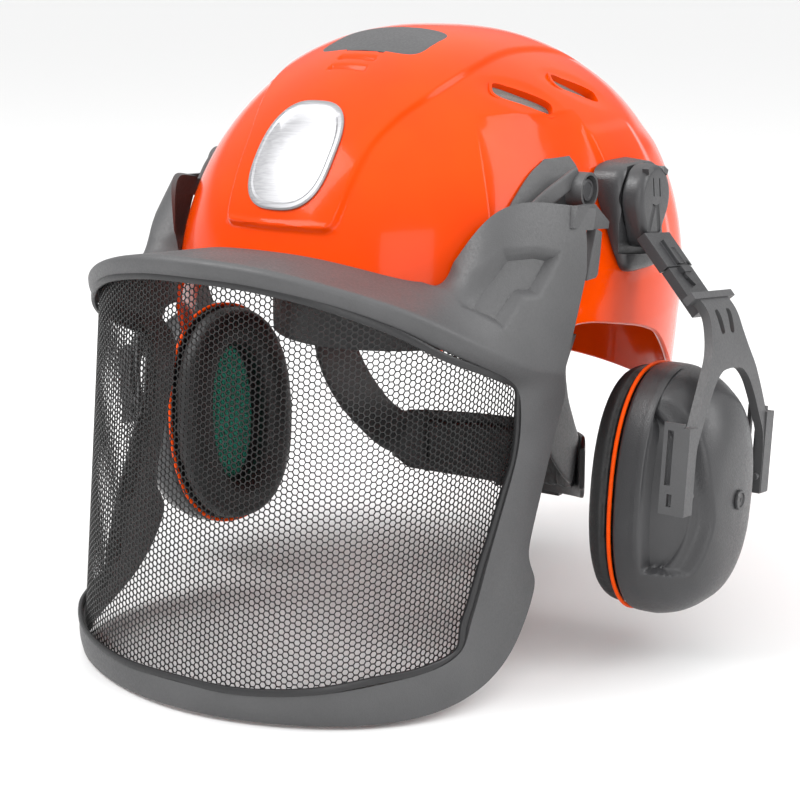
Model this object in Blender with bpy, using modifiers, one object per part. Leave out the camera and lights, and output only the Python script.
"""Forestry helmet with a hinged mesh visor and swing-out ear muffs.

Metres, +Z up.  The wearer looks along -Y and the wearer's left is +X.  The origin is the middle of the
wearer's head, level with the top of the ear arches in the rim.  The helmet is modelled as worn: visor
down, ear muffs clicked outwards into their stand-by position.
"""

import math

import bmesh
import bpy
from mathutils import Matrix, Vector

MM = 0.001

# Shell: a dome over a superellipse plan
SHELL_HALF_WIDTH = 112.5 * MM
SHELL_FRONT = 129 * MM              # from the crown line to the front of the dome
SHELL_REAR = 150 * MM
SHELL_HEIGHT = 133 * MM
SHELL_CENTRE_Y = -14 * MM
SHELL_WALL = 2.6 * MM
FRONT_PLAN, REAR_PLAN = 2.0, 2.3    # superellipse exponents of the plan
FRONT_DOME, REAR_DOME = 2.03, 2.4   # superellipse exponents of the upright section

# Visor, in the planes of its hinge
HINGE_X, HINGE_Y, HINGE_Z = 100 * MM, -42 * MM, 65.5 * MM      # middle of the near arm's ring
FRAME_THICK = 3.0 * MM
MESH_THICK = 1.0 * MM

# Ear muffs, measured from the pivot of each arm
MUFF_PIVOT = Vector((109, -8, 58)) * MM
MUFF_SWING = {"left": math.radians(6), "right": math.radians(7)}    # how far the arms hang forward
ARM_LEAN = {"left": 0.0, "right": math.radians(7.5)}    # each arm's turn inwards at its hinge
RING_X, RING_Z = 22 * MM, -129 * MM                     # middle of the cup's rim
FORK_SLIDE = {"left": 0.0, "right": -3.5 * MM}           # how far each fork is drawn out along its arm
CUP_TILT = {"left": 0.0, "right": math.radians(-1)}     # turn of each cup on its pins, top outwards
CUP_TWIST = {"left": 0.0, "right": math.radians(9)}     # the play of the pins lets a cup's front stand out
FORK_X, FORK_Z = 59 * MM, -124 * MM                     # cup pivots in the fork
SIDES = {"left": 1, "right": -1}

# Head harness
BAND_HALF_WIDTH, BAND_FRONT, BAND_REAR = 70 * MM, 93 * MM, 84 * MM
BAND_CENTRE_Y = -2 * MM
NAPE_SLIDE = Vector((0, 84, -98)) * MM
KNOB_CENTRE = Vector((0, 102, -101)) * MM

COLOURS = {
    "shell_orange": ((0.95, 0.13, 0.01), 0.18, 0.0),
    "grey_plastic": ((0.115, 0.115, 0.12), 0.55, 0.0),
    "dark_plastic": ((0.035, 0.035, 0.038), 0.5, 0.0),
    "black_plastic": ((0.012, 0.012, 0.013), 0.45, 0.0),
    "black_steel_mesh": ((0.01, 0.01, 0.01), 0.4, 0.6),
    "soft_black": ((0.015, 0.015, 0.016), 0.7, 0.0),
    "webbing": ((0.02, 0.02, 0.022), 0.85, 0.0),
    "green_foam": ((0.0, 0.12, 0.07), 0.95, 0.0),
    "brushed_silver": ((0.6, 0.6, 0.6), 0.3, 1.0),
    "trim_orange": ((0.9, 0.16, 0.02), 0.4, 0.0),
}

for old in list(bpy.data.objects):
    bpy.data.objects.remove(old, do_unlink=True)

parts = bpy.data.collections.new("forestry_helmet")
cutters = bpy.data.collections.new("cutters")
cutters.hide_render = True
for collection in (parts, cutters):
    bpy.context.scene.collection.children.link(collection)


def make_material(name):
    colour, roughness, metallic = COLOURS[name]
    material = bpy.data.materials.new(name)
    material.use_nodes = True
    shader = material.node_tree.nodes["Principled BSDF"]
    shader.inputs["Base Color"].default_value = (*colour, 1)
    shader.inputs["Roughness"].default_value = roughness
    shader.inputs["Metallic"].default_value = metallic
    material.diffuse_color = (*colour, 1)
    return material


MATERIALS = {name: make_material(name) for name in COLOURS}


# ---------------------------------------------------------------- modelling helpers

def add_object(name, mesh, material, parent=None):
    """A visible sub-part, kept where its mesh lies when it is parented to a joint's empty."""
    obj = bpy.data.objects.new(name, mesh)
    parts.objects.link(obj)
    mesh.materials.clear()
    mesh.materials.append(MATERIALS[material])
    mesh.shade_smooth()
    mesh.set_sharp_from_angle(angle=math.radians(35))
    if parent is not None:
        obj.parent = parent
        obj.matrix_parent_inverse = parent.matrix_world.inverted()
    return obj


def add_empty(name, location, parent=None):
    empty = bpy.data.objects.new(name, None)
    empty.empty_display_size = 0.02
    parts.objects.link(empty)
    if parent is not None:
        empty.parent = parent
        empty.matrix_parent_inverse = parent.matrix_world.inverted()
    empty.location = location
    bpy.context.view_layer.update()
    return empty


def to_mesh(bm, name, matrix=None):
    """Turns a bmesh into a mesh with its faces pointing out, moved by matrix."""
    if matrix is not None:
        bmesh.ops.transform(bm, matrix=matrix, verts=bm.verts)
    bmesh.ops.recalc_face_normals(bm, faces=bm.faces)
    mesh = bpy.data.meshes.new(name)
    bm.to_mesh(mesh)
    bm.free()
    return mesh


def box_bm(size, centre=(0, 0, 0), bevel=0.0, segments=2):
    bm = bmesh.new()
    place = Matrix.Translation(centre) @ Matrix.Diagonal((*size, 1))
    bmesh.ops.create_cube(bm, size=1, matrix=place)
    if bevel:
        bmesh.ops.bevel(bm, geom=bm.edges[:], offset=bevel, segments=segments, affect="EDGES")
    return bm


def cylinder_bm(radius, depth, axis, centre=(0, 0, 0), segments=24, bevel=0.0, top_radius=None):
    """A cylinder along axis, or a cone when its far end has its own radius."""
    bm = bmesh.new()
    place = Matrix.Translation(centre) @ Vector(axis).to_track_quat("Z", "Y").to_matrix().to_4x4()
    far = radius if top_radius is None else top_radius
    bmesh.ops.create_cone(bm, cap_ends=True, segments=segments, radius1=radius, radius2=far,
                          depth=depth, matrix=place)
    if bevel:
        rims = [edge for edge in bm.edges if any(len(face.verts) > 4 for face in edge.link_faces)]
        bmesh.ops.bevel(bm, geom=rims, offset=bevel, segments=2, affect="EDGES")
    return bm


def loft_bm(rings, close_rings=True, cap=True, close_path=False):
    """Skins a row of rings that all have the same number of points."""
    bm = bmesh.new()
    rows = [[bm.verts.new(point) for point in ring] for ring in rings]
    count = len(rows[0])
    pairs = list(zip(rows, rows[1:] + rows[:1] if close_path else rows[1:]))
    for row, following in pairs:
        for i in range(count if close_rings else count - 1):
            j = (i + 1) % count
            bm.faces.new((row[i], row[j], following[j], following[i]))
    if cap and close_rings and not close_path:
        bm.faces.new(rows[0])
        bm.faces.new(rows[-1])
    return bm


def plate_bm(outline, thickness, matrix, bevel=0.0):
    """A flat plate: an outline in local X and Y, centred on the plane, placed by matrix."""
    curve = bpy.data.curves.new("outline", "CURVE")
    curve.dimensions = "2D"
    curve.fill_mode = "BOTH"
    curve.extrude = thickness / 2
    spline = curve.splines.new("POLY")
    spline.points.add(len(outline) - 1)
    for point, (x, y) in zip(spline.points, outline):
        point.co = (x, y, 0, 1)
    spline.use_cyclic_u = True
    holder = bpy.data.objects.new("outline", curve)
    bpy.context.scene.collection.objects.link(holder)
    graph = bpy.context.evaluated_depsgraph_get()
    mesh = bpy.data.meshes.new_from_object(holder.evaluated_get(graph))
    bpy.data.objects.remove(holder, do_unlink=True)
    bm = bmesh.new()
    bm.from_mesh(mesh)
    bmesh.ops.remove_doubles(bm, verts=bm.verts, dist=0.01 * MM)
    if bevel:
        bmesh.ops.dissolve_limit(bm, angle_limit=0.01, verts=bm.verts, edges=bm.edges)
        bmesh.ops.bevel(bm, geom=bm.edges[:], offset=bevel, segments=1, affect="EDGES")
    bmesh.ops.transform(bm, matrix=matrix, verts=bm.verts)
    return bm


def strap_bm(path, widths, across, thickness):
    """A flat strap along a path: widths are measured along the across vectors."""
    rings = []
    for i, point in enumerate(path):
        ahead = (path[min(i + 1, len(path) - 1)] - path[max(i - 1, 0)]).normalized()
        side = across[i] - ahead * across[i].dot(ahead)
        side.normalize()
        normal = ahead.cross(side)
        half, thin = side * widths[i] / 2, normal * thickness / 2
        rings.append([point + half + thin, point + half - thin, point - half - thin, point - half + thin])
    return loft_bm(rings)


# Turns a plate drawn in X and Y into one that stands across the helmet: X becomes Y, Y becomes Z
SIDEWAYS = Matrix(((0, 0, 1, 0), (1, 0, 0, 0), (0, 1, 0, 0), (0, 0, 0, 1)))


def cutter(name, bm, matrix=None):
    obj = bpy.data.objects.new(name, to_mesh(bm, name, matrix))
    obj.hide_render = True
    obj.display_type = "WIRE"
    cutters.objects.link(obj)
    return obj


def add_boolean(obj, tool, operation):
    modifier = obj.modifiers.new(f"{operation.lower()}_{tool.name}", "BOOLEAN")
    modifier.object = tool
    modifier.operation = operation
    modifier.solver = "EXACT"


def solidify(obj, thickness, offset=-1.0):
    modifier = obj.modifiers.new("wall", "SOLIDIFY")
    modifier.thickness = thickness
    modifier.offset = offset
    modifier.use_even_offset = True
    return modifier


def smooth_through(knots, value):
    """Cubic through (position, height) knots, flat at peaks and dips so that it never overshoots."""
    if value <= knots[0][0]:
        return knots[0][1]
    if value >= knots[-1][0]:
        return knots[-1][1]
    slopes = []
    steps = [(b[1] - a[1]) / (b[0] - a[0]) for a, b in zip(knots, knots[1:])]
    for before, after in zip([steps[0]] + steps, steps + [steps[-1]]):
        slopes.append(0.0 if before * after <= 0 else 2 * before * after / (before + after))
    for i, (start, end) in enumerate(zip(knots, knots[1:])):
        if value <= end[0]:
            span = end[0] - start[0]
            t = (value - start[0]) / span
            return ((1 + 2 * t) * (1 - t) ** 2 * start[1] + t * (1 - t) ** 2 * span * slopes[i]
                    + t * t * (3 - 2 * t) * end[1] + t * t * (t - 1) * span * slopes[i + 1])
    return knots[-1][1]


def signed_power(value, exponent):
    return math.copysign(abs(value) ** exponent, value)


def oval(half_a, half_b, exponent, count):
    """Points (a, b) round a superellipse."""
    turns = [math.tau * i / count for i in range(count)]
    return [(half_a * signed_power(math.cos(t), 2 / exponent),
             half_b * signed_power(math.sin(t), 2 / exponent)) for t in turns]


# ---------------------------------------------------------------- shell

# Height of the rim against the plan angle from the front, in degrees
RIM = [(0, 30), (25, 27), (40, 17), (50, 0), (57, -12), (62, -11), (67, 3), (73, 8), (86, 4),
       (101, -5), (117, -28), (130, -43), (146, -52), (180, -47)]


def adapter_recess(turn, height):
    """Depth of the shallow hollow that the visor adapter sits in."""
    turn = abs(math.remainder(turn, math.tau))
    across = (turn - math.radians(71)) / math.radians(19)
    up = (height - 64 * MM) / (34 * MM)
    return 5.8 * MM * (max(1 - across * across, 0) * max(1 - up * up, 0)) ** 0.7


def shell_point(turn, height, out=0.0):
    """A point on the dome's outside. turn is the plan angle from the front, towards +X."""
    facing_front = (1 + math.cos(turn)) / 2
    plan = REAR_PLAN + (FRONT_PLAN - REAR_PLAN) * facing_front
    dome = REAR_DOME + (FRONT_DOME - REAR_DOME) * facing_front
    side, ahead = math.sin(turn), -math.cos(turn)
    reach = (abs(side) ** plan + abs(ahead) ** plan) ** (-1 / plan)
    length = SHELL_FRONT if ahead < 0 else SHELL_REAR
    rise = min(max(height / SHELL_HEIGHT, 0.0), 1.0)
    shrink = (1 - rise ** dome) ** (1 / dome)
    below = min(height, 0.0)
    shrink *= 1 + 0.10 * below / (60 * MM) * (0.4 if ahead > 0 else 0.0)
    point = Vector((SHELL_HALF_WIDTH * reach * side * shrink,
                    SHELL_CENTRE_Y + length * reach * ahead * shrink, height))
    normal = Vector((side / SHELL_HALF_WIDTH * shrink, ahead / length * shrink,
                     rise ** (dome - 1) / SHELL_HEIGHT)).normalized()
    return point + normal * (out - adapter_recess(turn, height))


def shell_grid(turns, levels):
    """Rows of points from the rim to just under the crown."""
    rows = []
    for level in range(levels):
        row = []
        for i in range(turns):
            turn = math.tau * i / turns
            angle = math.degrees(min(turn, math.tau - turn))
            rim = smooth_through(RIM, angle) * MM
            low = math.asin(max(rim, 0) / SHELL_HEIGHT) if rim > 0 else rim / (90 * MM)
            lift = low + (math.radians(88) - low) * level / (levels - 1)
            height = SHELL_HEIGHT * math.sin(lift) if lift > 0 else lift * 90 * MM
            row.append(shell_point(turn, height))
        rows.append(row)
    return rows


def build_shell():
    bm = loft_bm(shell_grid(64, 11), cap=False)
    bm.faces.new([vert for vert in bm.verts][-64:])
    bmesh.ops.triangulate(bm, faces=[face for face in bm.faces if len(face.verts) > 4])
    shell = add_object("shell", to_mesh(bm, "shell"), "shell_orange")
    solidify(shell, SHELL_WALL)
    for name, turn, height in VENTS:
        slot = slot_bm(15.5, 4.5, 24)
        add_boolean(shell, cutter(f"{name}_cutter", slot, vent_frame(turn, height)), "DIFFERENCE")
    return shell


def surface_frame(turn, height, out=0.0):
    """A frame on the shell: X points out, Y runs level towards the rear, Z runs up the surface."""
    point = shell_point(turn, height, out)
    normal = (shell_point(turn, height, 10 * MM) - shell_point(turn, height)).normalized()
    level = Vector((0, 0, 1)).cross(normal).normalized()
    rise = normal.cross(level)
    return Matrix.Translation(point) @ Matrix((normal, level, rise)).transposed().to_4x4()


VENTS = [(f"vent_{place}_{side}", math.radians(turn) * sign, height * MM)
         for side, sign in SIDES.items()
         for place, turn, height in (("front", 72, 105), ("rear", 100, 107))]


def slot_bm(half_length, half_width, depth):
    """A rounded bar that lies along local Y and goes depth deep along local X."""
    outline = [(a * MM, b * MM) for a, b in oval(half_length, half_width, 4, 16)]
    return plate_bm(outline, depth * MM, SIDEWAYS)


def vent_frame(turn, height, out=0.0):
    """The slots of each side drop towards the rear."""
    roll = math.copysign(math.radians(30), -turn)
    return surface_frame(turn, height, out) @ Matrix.Rotation(roll, 4, "X")


def crown_point(x, y, out=0.0):
    """The point of the dome above this X and Y."""
    length = SHELL_FRONT if y < SHELL_CENTRE_Y else SHELL_REAR
    side, ahead = x / SHELL_HALF_WIDTH, (y - SHELL_CENTRE_Y) / length
    turn = math.atan2(side, -ahead)
    facing_front = (1 + math.cos(turn)) / 2
    plan = REAR_PLAN + (FRONT_PLAN - REAR_PLAN) * facing_front
    dome = REAR_DOME + (FRONT_DOME - REAR_DOME) * facing_front
    shrink = (abs(side) ** plan + abs(ahead) ** plan) ** (1 / plan)
    return shell_point(turn, SHELL_HEIGHT * (1 - shrink ** dome) ** (1 / dome), out)


def skin_patch(name, rows, thickness, material, parent=None):
    """A plate that starts from a grid of points on a surface and grows outwards from it."""
    bm = loft_bm(rows, close_rings=False)
    bmesh.ops.recalc_face_normals(bm, faces=bm.faces)
    bm.faces.ensure_lookup_table()
    face = bm.faces[0]
    if face.normal.dot(face.calc_center_median() - Vector((0, SHELL_CENTRE_Y, 0))) < 0:
        bmesh.ops.reverse_faces(bm, faces=bm.faces[:])
    mesh = bpy.data.meshes.new(name)
    bm.to_mesh(mesh)
    bm.free()
    patch = add_object(name, mesh, material, parent)
    solidify(patch, thickness, offset=1.0)
    return patch


def shell_at(y, height, out=0.0):
    """The point on the +X side of the dome at this Y and height, a distance out from its surface."""
    low, high = 0.0, math.pi
    for _ in range(40):
        turn = (low + high) / 2
        if shell_point(turn, height).y < y:
            low = turn
        else:
            high = turn
    return shell_point(turn, height, out)


def mirrored(point, sign):
    return Vector((point.x * sign, point.y, point.z))


# ---------------------------------------------------------------- shell fittings

def build_shell_fittings():
    for name, turn, height in VENTS:
        grille = slot_bm(15.0, 4.0, 1.2)
        frame = vent_frame(turn, height, -1.4 * MM)
        add_object(f"{name}_grille", to_mesh(grille, name, frame), "black_steel_mesh")
    badge = plate_bm([(x * MM, y * MM) for x, y in oval(24, 27, 2.8, 28)], 1.6 * MM, Matrix())
    face = surface_frame(0, 80 * MM, 2.6 * MM) @ Matrix.Rotation(math.radians(90), 4, "Y")
    face = face @ Matrix.Rotation(math.radians(90), 4, "Z")
    add_object("front_badge", to_mesh(badge, "front_badge", face), "brushed_silver")
    for name, front, rear in (("crown_plate_front", -56, -12), ("crown_plate_rear", 44, 78)):
        rows = [[crown_point((-22 + 44 * i / 6) * MM, (front + (rear - front) * j / 5) * MM, 0.5 * MM)
                 for i in range(7)] for j in range(6)]
        skin_patch(name, rows, 1.2 * MM, "grey_plastic")
    for side, sign in SIDES.items():
        rows = [[shell_point(math.radians(56 + 3.5 * i) * sign, (56 + 6 * j) * MM, 0.5 * MM)
                 for i in range(7)] for j in range(5)]
        skin_patch(f"visor_adapter_{side}", rows, 1.5 * MM, "grey_plastic")
        build_muff_adapter(side, sign)
        build_visor_knob(side, sign)


def build_muff_adapter(side, sign):
    """A housing that stands on the shell: its foot follows the dome, and it flares out at the bottom."""
    centre_y, centre_z = -5 * MM, 51 * MM
    outline = oval(19 * MM, 24 * MM, 5, 20)

    def face_ring(scale, x_top, x_bottom):
        ring = []
        for a, b in outline:
            blend = (1 - b / (24 * MM)) / 2
            ring.append(Vector((x_top + (x_bottom - x_top) * blend ** 3, centre_y + a * scale,
                                centre_z + b * scale)))
        return ring

    def foot_ring(scale, out):
        return [shell_at(centre_y + a * scale, centre_z + b * scale, out) for a, b in outline]

    rings = [face_ring(0.5, 110 * MM, 110 * MM), face_ring(0.93, 110 * MM, 114 * MM),
             face_ring(1.0, 107 * MM, 113 * MM), foot_ring(1.0, 1.2 * MM),
             foot_ring(0.6, 1.3 * MM), foot_ring(0.25, 1.3 * MM)]
    rings = [[mirrored(point, sign) for point in ring] for ring in rings]
    add_object(f"muff_adapter_{side}", to_mesh(loft_bm(rings), "muff_adapter"), "dark_plastic")


def build_visor_knob(side, sign):
    knob = cylinder_bm(4.0 * MM, 8 * MM, (1, 0, 0), Vector((HINGE_X + 1 * MM, HINGE_Y, HINGE_Z)))
    obj = add_object(f"visor_knob_{side}", to_mesh(knob, "visor_knob", Matrix.Diagonal((sign, 1, 1, 1))),
                     "dark_plastic")
    cap = Vector(((HINGE_X + 5.8 * MM) * sign, HINGE_Y, HINGE_Z))
    head = cylinder_bm(5.4 * MM, 2.4 * MM, (1, 0, 0), cap, bevel=0.6 * MM)
    add_boolean(obj, cutter(f"visor_knob_head_{side}", head), "UNION")


# ---------------------------------------------------------------- visor

def visor_width(height):
    return (104 + 0.01 * height / MM) * MM


def visor_exponent(height):
    return 2.26 - 0.0024 * height / MM


def visor_depth(height):
    return (93.5 - 0.107 * height / MM) * MM


VISOR_AXIS_Y = -98 * MM


def visor_point(turn, height, out=0.0):
    """A point on the visor's own curved surface. turn runs from 0 in front to a right angle at the side."""
    n = visor_exponent(height)
    x = visor_width(height) * signed_power(math.sin(turn), 2 / n)
    y = -visor_depth(height) * abs(math.cos(turn)) ** (2 / n)
    normal = Vector((signed_power(x, n - 1) / visor_width(height) ** n,
                     signed_power(y, n - 1) / visor_depth(height) ** n, 0)).normalized()
    return Vector((x, VISOR_AXIS_Y + y, height)) + normal * out


def turn_for(height, x=None, y=None):
    """The visor turn at which its surface reaches this X, or this Y on the +X side."""
    n = visor_exponent(height)
    if x is not None:
        return math.asin(min(abs(x) / visor_width(height), 1) ** (n / 2))
    return math.acos(min(max(VISOR_AXIS_Y - y, 0) / visor_depth(height), 1) ** (n / 2))


# Outer edge of the frame from the middle of the lip, down the side and along the bottom,
# and the window edge beside each point: (kind, where it is, height)
FRAME_EDGE = [
    ((0, -191, 44), ("x", 0, 35)), ((30, -188, 43), ("x", 29, 33.5)), ((60, -178, 37), ("x", 58, 28)),
    ((88, -158, 27), ("x", 84, 17)), ((101, -138, 15), ("x", 96, 6)), ((108, -118, 4), ("y", -115, -4)),
    ((112, -97, -5), ("y", -105, -13)), ((113, -79, -9), ("y", -100, -24)),
    ((110, -71, -20), ("y", -99, -34)), ((108, -76, -34), ("y", -101, -45)),
    ((107, -84, -56), ("y", -106, -58)), ((106, -92, -77), ("y", -114, -76)),
    ((106, -97, -89), ("y", -122, -88)), ((106, -89, -99), ("y", -128, -96)),
    ((106, -89, -106), ("y", -133, -104)), ((106, -99, -121), ("y", -139, -112)),
    ((106, -113, -133), ("y", -146, -121)), ((104, -134, -141), ("x", 92, -129)),
    ((95, -160, -145), ("x", 82, -132)), ((72, -184, -145), ("x", 62, -134)),
    ((36, -201, -145), ("x", 32, -134)), ((0, -207, -145), ("x", 0, -134)),
]
# Upper edge of the peak and the side wings, above each of the first eight points of the outer edge
HOOD_EDGE = [(0, -146, 47), (28, -143, 46), (52, -131, 41), (68, -118, 38), (82, -104, 50),
             (91, -93, 60), (103, -70, 61), (110, -47, 57)]
WINDOW_MIDDLE = -50                 # height of the middle of the window
# How far the hood stands out between its two edges, at a third and two thirds of the way up
HOOD_BULGE = [(0, 0), (0, 0), (0, 0), (-2, -3), (-5, -4), (-3, 2), (2, 8), (1, 4)]


def window_point(kind, where, height, inset=0.0, out=0.0):
    """A point on the window's edge, or a distance inside it."""
    upwards = 1 if height < WINDOW_MIDDLE else -1
    if kind == "x":
        height += upwards * inset
        where -= inset if where > 80 else 0
    else:
        where -= inset
        height += upwards * inset if abs(height - WINDOW_MIDDLE) > 36 else 0
    turn = turn_for(height * MM, **{kind: where * MM})
    return visor_point(turn, height * MM, out)


def mirror_row(row):
    """A row of points from the middle out becomes the whole row, from the wearer's right to left."""
    return [mirrored(point, -1) for point in reversed(row[1:])] + row


def build_visor_frame(hinge):
    bm = bmesh.new()
    outer = [Vector(point) * MM for point, _ in FRAME_EDGE]
    inner = [window_point(*window) for _, window in FRAME_EDGE]
    middle = [a.lerp(b, 0.5) + Vector((a.x, 0.6 * (a.y - VISOR_AXIS_Y), 0)).normalized() * 1.2 * MM
              for a, b in zip(outer, inner)]
    top = [Vector(point) * MM for point in HOOD_EDGE]
    hood = []
    for step in (0, 1):
        row = []
        for low, high, bulge in zip(outer, top, HOOD_BULGE):
            push = Vector((low.x, 0.5 * (low.y - VISOR_AXIS_Y), 0.06)).normalized()
            row.append(low.lerp(high, (step + 1) / 3) + push * bulge[step] * MM)
        hood.append(row)

    def verts(row):
        return [bm.verts.new(point) for point in mirror_row(row)]

    loops = [verts(row)[:-1] for row in (inner, middle, outer)]
    # The bottom middle point closes each loop, so its mirrored twin is left out above
    for near, far in zip(loops, loops[1:]):
        count = len(near)
        for i in range(count):
            j = (i + 1) % count
            bm.faces.new((near[i], near[j], far[j], far[i]))
    columns = len(HOOD_EDGE)
    start = len(FRAME_EDGE) - columns
    lip = loops[2][start:start + 2 * columns - 1]
    rows = [lip] + [verts(row) for row in hood + [top]]
    for near, far in zip(rows, rows[1:]):
        for i in range(2 * columns - 2):
            bm.faces.new((near[i], near[i + 1], far[i + 1], far[i]))
    bmesh.ops.recalc_face_normals(bm, faces=bm.faces)
    bm.faces.ensure_lookup_table()
    outermost = min(bm.faces, key=lambda face: face.calc_center_median().y)
    if outermost.normal.y > 0:
        bmesh.ops.reverse_faces(bm, faces=bm.faces[:])
    mesh = bpy.data.meshes.new("visor_frame")
    bm.to_mesh(mesh)
    bm.free()
    frame = add_object("visor_frame", mesh, "grey_plastic", hinge)
    solidify(frame, FRAME_THICK, offset=1.0)
    return frame


def mesh_height(turn_share, row, rows):
    """Height of a row of the mesh, at a share of its half width."""
    top = smooth_through([(0, 35), (0.5, 31), (0.75, 20), (0.9, 4), (1, -10)], abs(turn_share))
    low = smooth_through([(0, -134), (0.7, -134), (0.9, -127), (1, -116)], abs(turn_share))
    top, low = (top + 2.2) * MM, (low - 0.6) * MM
    return top + (low - top) * row / (rows - 1)


def build_visor_mesh(hinge):
    rows, columns = 6, 29
    grid = []
    for row in range(rows):
        line = []
        for column in range(columns):
            share = 2 * column / (columns - 1) - 1
            height = mesh_height(share, row, rows)
            edge = smooth_through([(-134, -144), (-112, -136), (-88, -119), (-58, -103), (-24, -97),
                                   (-4, -111), (35, -124)], height / MM)
            side = turn_for(height, y=edge * MM)
            line.append(visor_point(share * side, height, -1.6 * MM))
        grid.append(line)
    bm = loft_bm(grid, close_rings=False)
    bmesh.ops.recalc_face_normals(bm, faces=bm.faces)
    face = min(bm.faces, key=lambda face: face.calc_center_median().y)
    if face.normal.y > 0:
        bmesh.ops.reverse_faces(bm, faces=bm.faces[:])
    mesh = bpy.data.meshes.new("visor_mesh")
    bm.to_mesh(mesh)
    bm.free()
    obj = add_object("visor_mesh", mesh, "black_steel_mesh", hinge)
    solidify(obj, MESH_THICK)
    return obj


def tube_mesh(points, radius, cyclic=False, resolution=2):
    """A tube as a mesh, from a POLY curve with a round bevel."""
    curve = bpy.data.curves.new("tube", "CURVE")
    curve.dimensions = "3D"
    curve.bevel_depth = radius
    curve.bevel_resolution = resolution
    curve.use_fill_caps = not cyclic
    spline = curve.splines.new("POLY")
    spline.points.add(len(points) - 1)
    for point, place in zip(spline.points, points):
        point.co = (*place, 1)
    spline.use_cyclic_u = cyclic
    holder = bpy.data.objects.new("tube", curve)
    bpy.context.scene.collection.objects.link(holder)
    graph = bpy.context.evaluated_depsgraph_get()
    mesh = bpy.data.meshes.new_from_object(holder.evaluated_get(graph))
    bpy.data.objects.remove(holder, do_unlink=True)
    bm = bmesh.new()
    bm.from_mesh(mesh)
    bmesh.ops.remove_doubles(bm, verts=bm.verts, dist=0.01 * MM)
    return to_mesh(bm, "tube")


def build_mesh_seal(hinge):
    """A thin bead round the inside of the window, in front of the mesh."""
    row = [window_point(*window, inset=2.0, out=0.9 * MM) for _, window in FRAME_EDGE]
    loop = mirror_row(row)[:-1]
    add_object("mesh_seal", tube_mesh(loop, 0.9 * MM, cyclic=True, resolution=1), "black_plastic", hinge)


def teardrop(centre, radius, tail, tail_radius, count=10):
    """Outline round two circles of a plate, both given as (a, b) centres."""
    (ax, ay), (bx, by) = centre, tail
    reach = math.hypot(bx - ax, by - ay)
    heading = math.atan2(by - ay, bx - ax)
    spread = math.acos((radius - tail_radius) / reach)
    big = [heading + spread + (math.tau - 2 * spread) * i / count for i in range(count + 1)]
    small = [heading - spread + 2 * spread * i / count for i in range(count + 1)]
    return ([(ax + radius * math.cos(t), ay + radius * math.sin(t)) for t in big]
            + [(bx + tail_radius * math.cos(t), by + tail_radius * math.sin(t)) for t in small])


def build_visor_arm(side, sign, hinge):
    flip = Matrix.Diagonal((sign, 1, 1, 1))
    path = [Vector(point) * MM for point in ((100, -44.5, 71.3), (99, -53, 68.5), (96.5, -62, 64),
                                             (93.5, -71, 58))]
    strap = strap_bm(path, [7 * MM, 7 * MM, 8 * MM, 8 * MM], [Vector((0, 0.35, 1))] * 4, 2.2 * MM)
    arm = add_object(f"visor_arm_{side}", to_mesh(strap, "visor_arm", flip), "grey_plastic", hinge)
    centre = Vector((HINGE_X, HINGE_Y, HINGE_Z))
    ring = cylinder_bm(7 * MM, 4 * MM, (1, 0, 0), centre)
    bore = cylinder_bm(4.4 * MM, 12 * MM, (1, 0, 0), centre)
    add_boolean(arm, cutter(f"visor_arm_ring_{side}", ring, flip), "UNION")
    add_boolean(arm, cutter(f"visor_arm_bore_{side}", bore, flip), "DIFFERENCE")


def build_wing_clip(side, sign, hinge):
    """The block behind the rear edge of the wing, which takes the end of the visor arm."""
    outline = [(y * MM, z * MM) for y, z in ((-49.5, 50), (-44.5, 48), (-48, 28), (-58, 28))]
    block = plate_bm(outline, 5.5 * MM, Matrix.Translation((111.5 * MM, 0, 0)) @ SIDEWAYS)
    add_object(f"wing_clip_{side}", to_mesh(block, "wing_clip", Matrix.Diagonal((sign, 1, 1, 1))),
               "grey_plastic", hinge)


# ---------------------------------------------------------------- ear muffs

def muff_frame(side):
    sign = SIDES[side]
    return (Matrix.Translation(mirrored(MUFF_PIVOT, sign))
            @ Matrix.Rotation(-MUFF_SWING[side], 4, "X") @ Matrix.Diagonal((sign, 1, 1, 1)))


ARM_START, ARM_END = Vector((13, 0, -16)) * MM, Vector((41, 0, -47)) * MM
ARM_AHEAD = (ARM_END - ARM_START).normalized()
ARM_OUT = Vector((-ARM_AHEAD.z, 0, ARM_AHEAD.x))


def arm_frame(side):
    """What hangs below the arm's hinge."""
    return (muff_frame(side) @ Matrix.Translation(ARM_START)
            @ Matrix.Rotation(ARM_LEAN[side], 4, "Y") @ Matrix.Translation(-ARM_START))


def fork_frame(side):
    """What slides along the arm."""
    return arm_frame(side) @ Matrix.Translation(ARM_AHEAD * FORK_SLIDE[side])


def along_arm(distance, out=0.0):
    return ARM_START + ARM_AHEAD * distance + ARM_OUT * out


def arm_block(start, end, width, thickness, out=0.0, bevel=0.0):
    """A block along the arm between two distances from its hinge."""
    bm = box_bm((thickness, width, end - start), bevel=bevel, segments=1)
    turn = Matrix((ARM_OUT, Vector((0, 1, 0)), -ARM_AHEAD)).transposed().to_4x4()
    centre = along_arm((start + end) / 2, out)
    bmesh.ops.transform(bm, matrix=Matrix.Translation(centre) @ turn, verts=bm.verts)
    return bm


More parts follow.
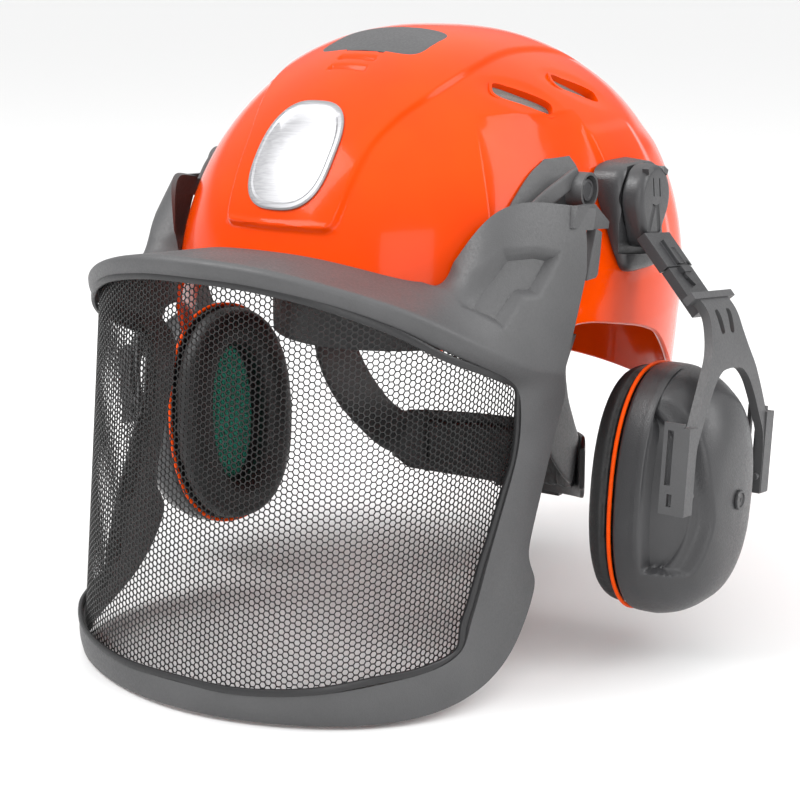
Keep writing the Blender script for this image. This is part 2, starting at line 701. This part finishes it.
def build_muff_arm(side, swivel, hinge):
    frame = muff_frame(side)
    outline = [(a * MM, b * MM) for a, b in teardrop((0, 2), 15, (0, -13), 8)]
    head = plate_bm(outline, 10 * MM, Matrix.Translation((7.6 * MM, 0, 0)) @ SIDEWAYS, bevel=1.2 * MM)
    add_object(f"muff_pivot_head_{side}", to_mesh(head, "pivot_head", frame), "dark_plastic", swivel)
    frame = arm_frame(side)
    upper = arm_block(3.5 * MM, 18 * MM, 24 * MM, 5 * MM, bevel=0.8 * MM)
    add_object(f"muff_arm_upper_{side}", to_mesh(upper, "arm_upper", frame), "dark_plastic", hinge)
    lower = arm_block(18.4 * MM, 43 * MM, 22 * MM, 5 * MM, bevel=0.8 * MM)
    add_object(f"muff_arm_lower_{side}", to_mesh(lower, "arm_lower", frame), "dark_plastic", hinge)


def build_fork(side, slider):
    frame = fork_frame(side)
    sleeve = arm_block(35 * MM, 41 * MM, 43 * MM, 11 * MM, bevel=1 * MM)
    fork = add_object(f"muff_fork_{side}", to_mesh(sleeve, "fork", frame), "grey_plastic", slider)
    channel = arm_block(31 * MM, 50 * MM, 22.8 * MM, 5.8 * MM)
    add_boolean(fork, cutter(f"fork_channel_{side}", channel, frame), "DIFFERENCE")
    path = [along_arm(37 * MM, 5 * MM), along_arm(46 * MM, 5 * MM), Vector((51, 0, -56)) * MM,
            Vector((54, 0, -68)) * MM]
    web = strap_bm(path, [30 * MM, 30 * MM, 32 * MM, 38 * MM], [Vector((0, 1, 0))] * 4, 2.8 * MM)
    add_boolean(fork, cutter(f"fork_web_{side}", web, frame), "UNION")
    for end in (-1, 1):
        path = [Vector((x, y * end, z)) * MM for x, y, z in
                ((52.5, 16, -63), (55, 24, -77), (57.5, 34, -93), (59, 40.5, -106), (59, 41.5, -132))]
        leg = strap_bm(path, [8 * MM] * 5, [Vector((1, 0, 0.2))] * 5, 3 * MM)
        add_boolean(fork, cutter(f"fork_leg_{end}_{side}", leg, frame), "UNION")
        pin = cylinder_bm(2.5 * MM, 6.5 * MM, (0, 1, 0), Vector((FORK_X, 37.5 * MM * end, FORK_Z)), 12)
        add_boolean(fork, cutter(f"fork_pin_{end}_{side}", pin, frame), "UNION")


def cup_frame(side):
    """Each cup leans on its pins; at tilt 0 it faces straight across the helmet."""
    pins = Vector((FORK_X, 0, FORK_Z))
    turn = Matrix.Rotation(CUP_TWIST[side], 4, "Z") @ Matrix.Rotation(CUP_TILT[side], 4, "Y")
    return (fork_frame(side) @ Matrix.Translation(pins) @ turn
            @ Matrix.Translation(Vector((RING_X, 0, RING_Z)) - pins))


CUP_SECTIONS = [(0, 38.5, 56), (3, 40, 57.5), (13, 40, 57), (21, 38, 54.5), (28, 34.5, 50),
                (35, 29, 43), (40, 20, 31), (42, 9, 14)]


def oval_ring(depth, half_y, half_z, count=28):
    return [Vector((depth, y, z)) * MM for y, z in oval(half_y, half_z, 2.3, count)]


def build_cup(side, pivot):
    frame = cup_frame(side)
    bm = loft_bm([oval_ring(*section) for section in CUP_SECTIONS], cap=False)
    bm.verts.ensure_lookup_table()
    bm.faces.new(bm.verts[-28:])
    bmesh.ops.triangulate(bm, faces=[face for face in bm.faces if len(face.verts) > 4])
    bmesh.ops.transform(bm, matrix=frame, verts=bm.verts)
    bmesh.ops.recalc_face_normals(bm, faces=bm.faces)
    outermost = max(bm.faces, key=lambda face: abs(face.calc_center_median().x))
    if outermost.normal.x * SIDES[side] < 0:
        bmesh.ops.reverse_faces(bm, faces=bm.faces[:])
    mesh = bpy.data.meshes.new("cup")
    bm.to_mesh(mesh)
    bm.free()
    cup = add_object(f"cup_shell_{side}", mesh, "dark_plastic", pivot)
    solidify(cup, 2.4 * MM)
    for end in (-1, 1):
        # Each boss stands beside the end of a fork pin
        boss = box_bm(Vector((16, 5.4, 10)) * MM, Vector((32.2, 30.2 * end, 5)) * MM)
        add_boolean(cup, cutter(f"cup_boss_{end}_{side}", boss, frame), "UNION")

    ring = [frame @ point for point in oval_ring(-1.7, 39.2, 56.6, 40)]
    add_object(f"cup_trim_ring_{side}", tube_mesh(ring, 1.3 * MM, cyclic=True, resolution=1),
               "trim_orange", pivot)
    section = [(39, -3.6), (39, -9), (36.5, -15), (31, -17.5), (23, -17), (18, -13.5), (16.5, -8), (18, -3.6)]
    rings = []
    for half, depth in section:
        rings.append([frame @ point for point in oval_ring(depth, half, half + 17, 28)])
    add_object(f"cup_cushion_{side}", to_mesh(loft_bm(rings, close_path=True), "cushion"),
               "soft_black", pivot)
    plate = [oval_ring(0.6, 20, 35), oval_ring(0.6, 36, 53), oval_ring(2.4, 36, 53), oval_ring(2.4, 20, 35)]
    add_object(f"cup_seat_{side}", to_mesh(loft_bm(plate, close_path=True), "seat", frame),
               "black_plastic", pivot)
    foam = [oval_ring(3, 34, 51, 20), oval_ring(9, 34, 51, 20)]
    add_object(f"cup_foam_{side}", to_mesh(loft_bm(foam), "foam", frame), "green_foam", pivot)
    button = cylinder_bm(4.5 * MM, 1.4 * MM, (1, 0, 0), Vector((43.1, 0, 0)) * MM, bevel=0.3 * MM)
    add_object(f"cup_button_{side}", to_mesh(button, "button", frame), "dark_plastic", pivot)


# ---------------------------------------------------------------- head harness

def band_point(turn, height, out=0.0):
    """A point on the headband's plan curve; turn runs from 0 in front towards +X."""
    side, ahead = math.sin(turn), -math.cos(turn)
    length = BAND_FRONT if ahead < 0 else BAND_REAR
    point = Vector((BAND_HALF_WIDTH * side, BAND_CENTRE_Y + length * ahead, height))
    normal = Vector((side / BAND_HALF_WIDTH, ahead / length, 0)).normalized()
    return point + normal * out


def wall_strip(name, turns, low, high, out, thickness, material, steps=16, parent=None):
    """An upright strip that follows the headband's curve between two heights."""
    rings = []
    for i in range(steps + 1):
        turn = turns[0] + (turns[1] - turns[0]) * i / steps
        rings.append([band_point(turn, low, out), band_point(turn, high, out),
                      band_point(turn, high, out + thickness), band_point(turn, low, out + thickness)])
    return add_object(name, to_mesh(loft_bm(rings), name), material, parent)


def build_harness(nape, ratchet):
    side_turn = math.radians(108)
    wall_strip("headband", (-side_turn, side_turn), -8 * MM, 24 * MM, 0.0, 2 * MM, "black_plastic", 22)
    pad_turn = math.radians(62)
    wall_strip("brow_pad", (-pad_turn, pad_turn), -9 * MM, 25 * MM, -5.4 * MM, 5 * MM, "soft_black", 16)
    for side, sign in SIDES.items():
        build_nape_arm(side, sign, nape)
        for place, turn in (("front", 38), ("rear", 128)):
            build_suspension(side, sign, place, math.radians(turn))
    cross = [("crown_strap_front", 38, 97 * MM), ("crown_strap_rear", 128, 101 * MM)]
    for name, turn, crown in cross:
        build_crown_strap(name, math.radians(turn), crown)
    pad = box_bm(Vector((40, 70, 4)) * MM, Vector((0, -3, 88)) * MM, bevel=1.5 * MM, segments=1)
    add_object("crown_pad", to_mesh(pad, "crown_pad"), "soft_black")
    build_nape_unit(nape, ratchet)


def build_suspension(side, sign, place, turn):
    """A clip that holds the harness in the shell, and the strap that hangs from it to the headband."""
    centre = band_point(turn, 44 * MM, 8 * MM)
    tangent = (band_point(turn + 0.02, 0) - band_point(turn - 0.02, 0)).normalized()
    normal = Vector((-tangent.y, tangent.x, 0))
    frame = Matrix((tangent, normal, Vector((0, 0, 1)))).transposed().to_4x4()
    clip = box_bm(Vector((16, 4, 22)) * MM, bevel=0.8 * MM, segments=1)
    flip = Matrix.Diagonal((sign, 1, 1, 1))
    add_object(f"harness_clip_{place}_{side}",
               to_mesh(clip, "clip", flip @ Matrix.Translation(centre) @ frame), "black_plastic")


def build_crown_strap(name, turn, crown):
    """A textile strap from a clip on one side, up over the head and down to the same clip opposite."""
    start = band_point(turn, 34 * MM, -0.6 * MM)
    finish = mirrored(start, -1)
    path, across = [], []
    steps = 14
    for i in range(steps + 1):
        share = i / steps
        level = start.lerp(finish, share)
        swing = math.pi * share
        point = Vector((start.x * math.cos(swing), level.y * (1 - 0.75 * math.sin(swing)),
                        start.z + (crown - start.z) * math.sin(swing) ** 0.8))
        path.append(point)
        across.append(Vector((0, 1, 0)))
    add_object(name, to_mesh(strap_bm(path, [18 * MM] * (steps + 1), across, 1.6 * MM), name), "webbing")


def build_nape_arm(side, sign, nape):
    """The flexible arm from the end of the headband, down behind the ear to the nape plate."""
    knots = [((67.5, 3, -8.8), 36), ((67, 2, -30), 38), ((65, 9, -50), 32), ((62, 24, -68), 27),
             ((57.5, 36, -80), 24), ((53, 45.3, -86), 23)]
    path = [mirrored(Vector(point) * MM, sign) for point, _ in knots]
    widths = [width * MM for _, width in knots]
    across = [Vector((0, 1, 0)), Vector((0, 1, 0)), Vector((0, 1, 0.3)), Vector((0, 1, 0.8)),
              Vector((0, 0.5, 1)), Vector((0, 0.2, 1))]
    arm = strap_bm(path, widths, across, 2.4 * MM)
    add_object(f"nape_arm_{side}", to_mesh(arm, "nape_arm"), "black_plastic", nape)


def nape_rings(inner, outer, reach, trim):
    """Upright sections of a piece that curves round the nape, between two radii."""
    rings = []
    for i in range(13):
        turn = math.radians(reach) * (i / 6 - 1)
        along = Vector((math.sin(turn), math.cos(turn), 0))
        middle = math.cos(turn)
        low, high = (-97 - 19 * middle + trim) * MM, (-70 - 8 * middle - trim) * MM
        centre = Vector((0, 20 * MM, 0))
        near, far = along * inner * MM + centre, along * outer * MM + centre
        rings.append([Vector((near.x, near.y, low)), Vector((near.x, near.y, high)),
                      Vector((far.x, far.y, high)), Vector((far.x, far.y, low))])
    return rings


def build_nape_unit(nape, ratchet):
    add_object("nape_plate", to_mesh(loft_bm(nape_rings(62, 64.6, 58, 0)), "nape_plate"),
               "black_plastic", nape)
    add_object("nape_pad", to_mesh(loft_bm(nape_rings(57, 61.6, 50, 3)), "nape_pad"), "soft_black", nape)
    case = box_bm(Vector((44, 8, 38)) * MM, Vector((0, 91.5, -101)) * MM, bevel=2 * MM)
    add_object("ratchet_case", to_mesh(case, "ratchet_case"), "black_plastic", nape)
    knob = cylinder_bm(16 * MM, 12 * MM, (0, 1, 0), KNOB_CENTRE, bevel=1.5 * MM)
    add_object("ratchet_knob", to_mesh(knob, "ratchet_knob"), "black_plastic", ratchet)


# ---------------------------------------------------------------- assembly

build_shell()
build_shell_fittings()

visor_hinge = add_empty("visor_hinge", (0, HINGE_Y, HINGE_Z))
build_visor_frame(visor_hinge)
build_visor_mesh(visor_hinge)
build_mesh_seal(visor_hinge)
for side_name, side_sign in SIDES.items():
    build_visor_arm(side_name, side_sign, visor_hinge)
    build_wing_clip(side_name, side_sign, visor_hinge)

for side_name in SIDES:
    place = arm_frame(side_name)
    muff_swivel = add_empty(f"muff_swivel_{side_name}", mirrored(MUFF_PIVOT, SIDES[side_name]))
    muff_hinge = add_empty(f"muff_hinge_{side_name}", place @ ARM_START, muff_swivel)
    muff_slide = add_empty(f"muff_slide_{side_name}", place @ along_arm(35 * MM), muff_hinge)
    pins = fork_frame(side_name) @ Vector((FORK_X, 0, FORK_Z))
    cup_pivot = add_empty(f"cup_pivot_{side_name}", pins, muff_slide)
    build_muff_arm(side_name, muff_swivel, muff_hinge)
    build_fork(side_name, muff_slide)
    build_cup(side_name, cup_pivot)

nape_slide = add_empty("nape_slide", NAPE_SLIDE)
ratchet_turn = add_empty("ratchet_turn", KNOB_CENTRE, nape_slide)
build_harness(nape_slide, ratchet_turn)
